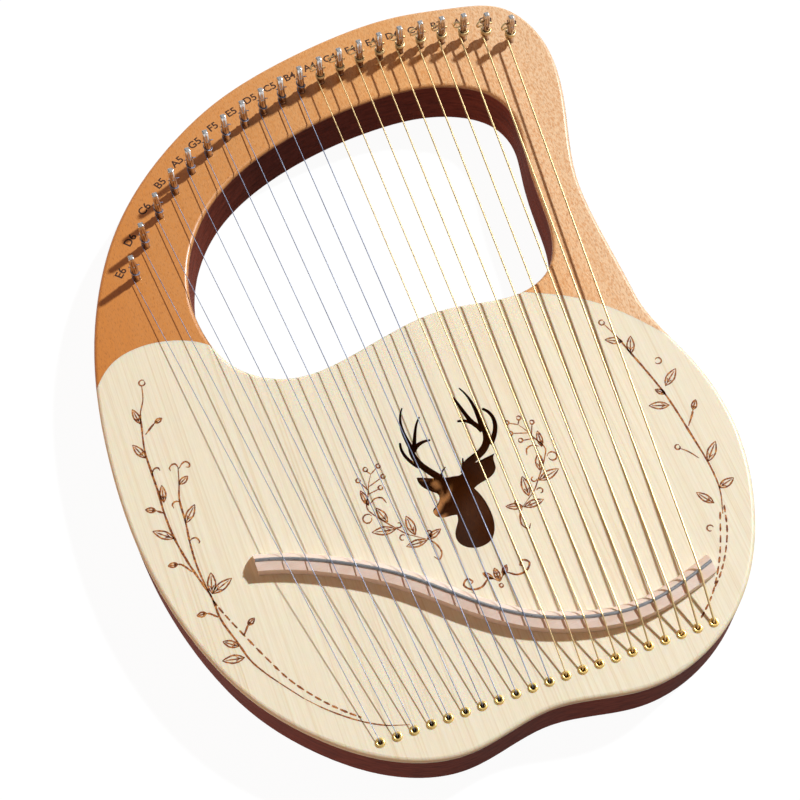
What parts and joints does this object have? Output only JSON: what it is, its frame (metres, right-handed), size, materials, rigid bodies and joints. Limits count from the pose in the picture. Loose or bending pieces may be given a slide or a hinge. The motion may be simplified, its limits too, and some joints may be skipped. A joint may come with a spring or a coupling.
{
  "type": "lyre harp",
  "caption": "Flat lyre harp: mahogany frame with a tuning yoke, spruce soundboard with a stag sound hole, curved bridge, metal strings and turning tuning pins.",
  "frame": {"origin": "under the middle of the harp's length and width, on the plane that its back rests on", "axes": "+Y along the harp's length towards the tuning yoke, +X to the player's right across the strings from the short treble string to the long bass string, +Z out of the soundboard"},
  "size_m": [0.3687, 0.5048, 0.0625],
  "materials": {
    "mahogany": "open-pored mahogany, satin clear finish",
    "mahogany_back": "open-pored mahogany, satin clear finish",
    "spruce": "fine straight-grained spruce, satin clear finish, burned decoration",
    "maple": "plain pale maple, satin",
    "brace_wood": "raw spruce",
    "brass": "polished brass",
    "rod_steel": "drawn steel rod",
    "plain_wire": "bright music wire",
    "wound_wire": "bronze-wound steel wire",
    "pin_steel": "nickel-plated steel"
  },
  "bodies": {
    "root": {"body_frame": "mahogany", "soundboard": "spruce", "back_plate": "mahogany_back", "bridge": "maple", "saddle_rod": "rod_steel", "soundboard_brace_upper": "brace_wood", "soundboard_brace_lower": "brace_wood", "back_brace": "brace_wood", "string_grommets": "brass", "string_ferrules": "brass", "string_ball_ends": "brass", "string_01": "plain_wire", "string_02": "plain_wire", "string_03": "plain_wire", "string_04": "plain_wire", "string_05": "plain_wire", "string_06": "plain_wire", "string_07": "plain_wire", "string_08": "plain_wire", "string_09": "plain_wire", "string_10": "plain_wire", "string_11": "plain_wire", "string_12": "wound_wire", "string_13": "wound_wire", "string_14": "wound_wire", "string_15": "wound_wire", "string_16": "wound_wire", "string_17": "wound_wire", "string_18": "wound_wire", "string_19": "wound_wire", "string_20": "wound_wire", "string_21": "wound_wire"},
    "pin_01": {"tuning_pin_01": "pin_steel"},
    "pin_02": {"tuning_pin_02": "pin_steel"},
    "pin_03": {"tuning_pin_03": "pin_steel"},
    "pin_04": {"tuning_pin_04": "pin_steel"},
    "pin_05": {"tuning_pin_05": "pin_steel"},
    "pin_06": {"tuning_pin_06": "pin_steel"},
    "pin_07": {"tuning_pin_07": "pin_steel"},
    "pin_08": {"tuning_pin_08": "pin_steel"},
    "pin_09": {"tuning_pin_09": "pin_steel"},
    "pin_10": {"tuning_pin_10": "pin_steel"},
    "pin_11": {"tuning_pin_11": "pin_steel"},
    "pin_12": {"tuning_pin_12": "pin_steel"},
    "pin_13": {"tuning_pin_13": "pin_steel"},
    "pin_14": {"tuning_pin_14": "pin_steel"},
    "pin_15": {"tuning_pin_15": "pin_steel"},
    "pin_16": {"tuning_pin_16": "pin_steel"},
    "pin_17": {"tuning_pin_17": "pin_steel"},
    "pin_18": {"tuning_pin_18": "pin_steel"},
    "pin_19": {"tuning_pin_19": "pin_steel"},
    "pin_20": {"tuning_pin_20": "pin_steel"},
    "pin_21": {"tuning_pin_21": "pin_steel"}
  },
  "joints": [
    {"name": "pin_turn_01", "type": "hinge", "parent": "root", "child": "pin_01", "pos_m": [-0.1322, 0.10945, 0.037], "axis": [0, 0, 1], "range_deg": [-60, 405]},
    {"name": "pin_turn_02", "type": "hinge", "parent": "root", "child": "pin_02", "pos_m": [-0.1197, 0.13085, 0.037], "axis": [0, 0, 1], "range_deg": [-60, 405]},
    {"name": "pin_turn_03", "type": "hinge", "parent": "root", "child": "pin_03", "pos_m": [-0.10489, 0.14971, 0.037], "axis": [0, 0, 1], "range_deg": [-60, 405]},
    {"name": "pin_turn_04", "type": "hinge", "parent": "root", "child": "pin_04", "pos_m": [-0.09008, 0.16433, 0.037], "axis": [0, 0, 1], "range_deg": [-60, 405]},
    {"name": "pin_turn_05", "type": "hinge", "parent": "root", "child": "pin_05", "pos_m": [-0.07527, 0.17598, 0.037], "axis": [0, 0, 1], "range_deg": [-60, 405]},
    {"name": "pin_turn_06", "type": "hinge", "parent": "root", "child": "pin_06", "pos_m": [-0.06046, 0.18546, 0.037], "axis": [0, 0, 1], "range_deg": [-60, 405]},
    {"name": "pin_turn_07", "type": "hinge", "parent": "root", "child": "pin_07", "pos_m": [-0.04565, 0.19325, 0.037], "axis": [0, 0, 1], "range_deg": [-60, 405]},
    {"name": "pin_turn_08", "type": "hinge", "parent": "root", "child": "pin_08", "pos_m": [-0.03084, 0.19967, 0.037], "axis": [0, 0, 1], "range_deg": [-60, 405]},
    {"name": "pin_turn_09", "type": "hinge", "parent": "root", "child": "pin_09", "pos_m": [-0.01603, 0.20497, 0.037], "axis": [0, 0, 1], "range_deg": [-60, 405]},
    {"name": "pin_turn_10", "type": "hinge", "parent": "root", "child": "pin_10", "pos_m": [-0.00122, 0.20936, 0.037], "axis": [0, 0, 1], "range_deg": [-60, 405]},
    {"name": "pin_turn_11", "type": "hinge", "parent": "root", "child": "pin_11", "pos_m": [0.01359, 0.21297, 0.037], "axis": [0, 0, 1], "range_deg": [-60, 405]},
    {"name": "pin_turn_12", "type": "hinge", "parent": "root", "child": "pin_12", "pos_m": [0.0284, 0.21589, 0.037], "axis": [0, 0, 1], "range_deg": [-60, 765]},
    {"name": "pin_turn_13", "type": "hinge", "parent": "root", "child": "pin_13", "pos_m": [0.04321, 0.2182, 0.037], "axis": [0, 0, 1], "range_deg": [-60, 765]},
    {"name": "pin_turn_14", "type": "hinge", "parent": "root", "child": "pin_14", "pos_m": [0.05802, 0.21992, 0.037], "axis": [0, 0, 1], "range_deg": [-60, 765]},
    {"name": "pin_turn_15", "type": "hinge", "parent": "root", "child": "pin_15", "pos_m": [0.07283, 0.22097, 0.037], "axis": [0, 0, 1], "range_deg": [-60, 765]},
    {"name": "pin_turn_16", "type": "hinge", "parent": "root", "child": "pin_16", "pos_m": [0.08764, 0.22121, 0.037], "axis": [0, 0, 1], "range_deg": [-60, 765]},
    {"name": "pin_turn_17", "type": "hinge", "parent": "root", "child": "pin_17", "pos_m": [0.10245, 0.22053, 0.037], "axis": [0, 0, 1], "range_deg": [-60, 765]},
    {"name": "pin_turn_18", "type": "hinge", "parent": "root", "child": "pin_18", "pos_m": [0.11726, 0.21884, 0.037], "axis": [0, 0, 1], "range_deg": [-60, 765]},
    {"name": "pin_turn_19", "type": "hinge", "parent": "root", "child": "pin_19", "pos_m": [0.13207, 0.21599, 0.037], "axis": [0, 0, 1], "range_deg": [-60, 765]},
    {"name": "pin_turn_20", "type": "hinge", "parent": "root", "child": "pin_20", "pos_m": [0.14688, 0.21125, 0.037], "axis": [0, 0, 1], "range_deg": [-60, 765]},
    {"name": "pin_turn_21", "type": "hinge", "parent": "root", "child": "pin_21", "pos_m": [0.16169, 0.20325, 0.037], "axis": [0, 0, 1], "range_deg": [-60, 765]}
  ]
}
